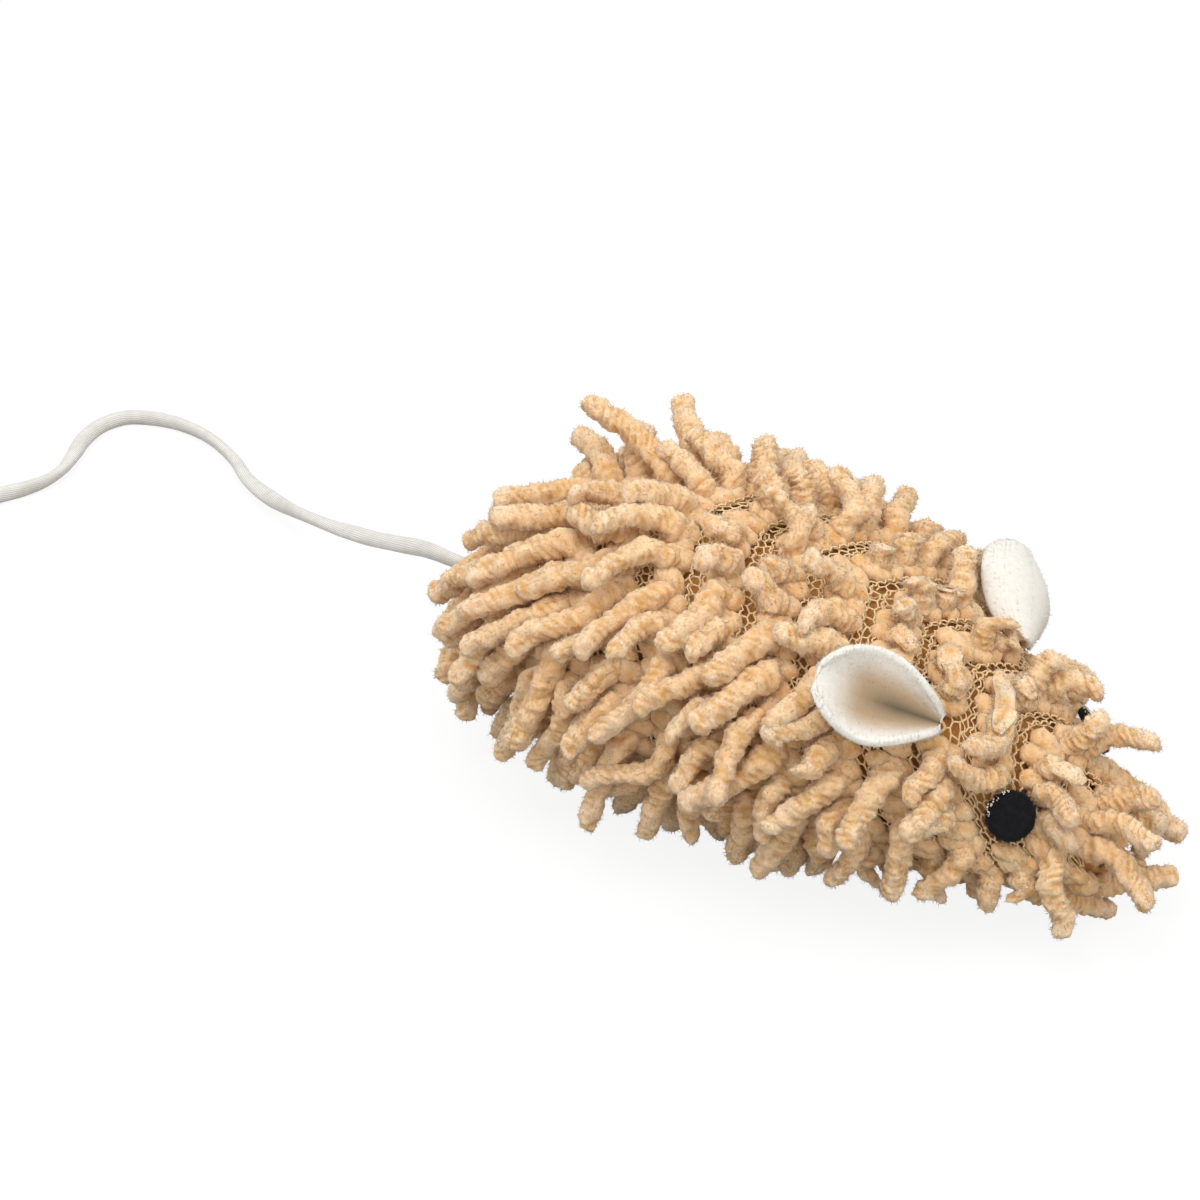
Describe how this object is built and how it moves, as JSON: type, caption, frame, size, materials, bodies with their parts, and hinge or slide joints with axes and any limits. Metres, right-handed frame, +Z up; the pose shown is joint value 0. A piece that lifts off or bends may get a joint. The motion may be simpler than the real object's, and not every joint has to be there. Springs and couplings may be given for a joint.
{
  "type": "catnip mouse",
  "caption": "Stuffed toy mouse in tan chenille noodle pile, with cupped felt ears that fold, felt dot eyes and a satin cord tail that wags, holding a pouch of dried catnip.",
  "frame": {"origin": "on the floor under the middle of the mouse's pile, measured without its free tail", "axes": "+X towards the nose, +Y towards the mouse's left, +Z up"},
  "size_m": [0.2026, 0.0587, 0.049],
  "materials": {
    "chenille_pile": "tan chenille noodle pile, velvety and matte",
    "lining_weave": "darker tan woven backing",
    "fibre_filling": "white polyester fibre",
    "muslin": "plain muslin",
    "catnip": "dried crushed leaf",
    "white_felt": "white felt",
    "black_felt": "black felt",
    "satin_cord": "white satin cord",
    "thread": "tan sewing thread",
    "clear_glue": "set clear glue"
  },
  "bodies": {
    "body": {"right_side_panel": "chenille_pile", "left_side_panel": "chenille_pile", "belly_panel": "chenille_pile", "right_lining": "lining_weave", "left_lining": "lining_weave", "belly_lining": "lining_weave", "spine_seam_thread": "thread", "right_base_seam_thread": "thread", "left_base_seam_thread": "thread", "nose_seam_knot": "thread", "head_filling": "fibre_filling", "rump_filling": "fibre_filling", "sachet_front_sheet": "muslin", "sachet_back_sheet": "muslin", "dried_catnip": "catnip", "right_ear_tack": "thread", "left_ear_tack": "thread", "right_eye_glue": "clear_glue", "left_eye_glue": "clear_glue", "right_eye": "black_felt", "left_eye": "black_felt", "tail_anchor_knot": "satin_cord"},
    "right_ear": {"right_ear": "white_felt"},
    "left_ear": {"left_ear": "white_felt"},
    "tail": {"tail_cord": "satin_cord"}
  },
  "joints": [
    {"name": "right_ear_fold", "type": "hinge", "parent": "body", "child": "right_ear", "pos_m": [0.02727, -0.00972, 0.02905], "axis": [-0.1868, 0.7618, 0.6203], "range_deg": [-5, 40], "stiffness_Nm_per_rad": 0.0008},
    {"name": "left_ear_fold", "type": "hinge", "parent": "body", "child": "left_ear", "pos_m": [0.02727, 0.00972, 0.02905], "axis": [0.5379, 0.4885, -0.687], "range_deg": [0, 40], "stiffness_Nm_per_rad": 0.0008},
    {"name": "tail_wag", "type": "hinge", "parent": "body", "child": "tail", "pos_m": [-0.04079, 0, 0.01715], "axis": [0, 0, 1], "range_deg": [-25, 25]}
  ]
}
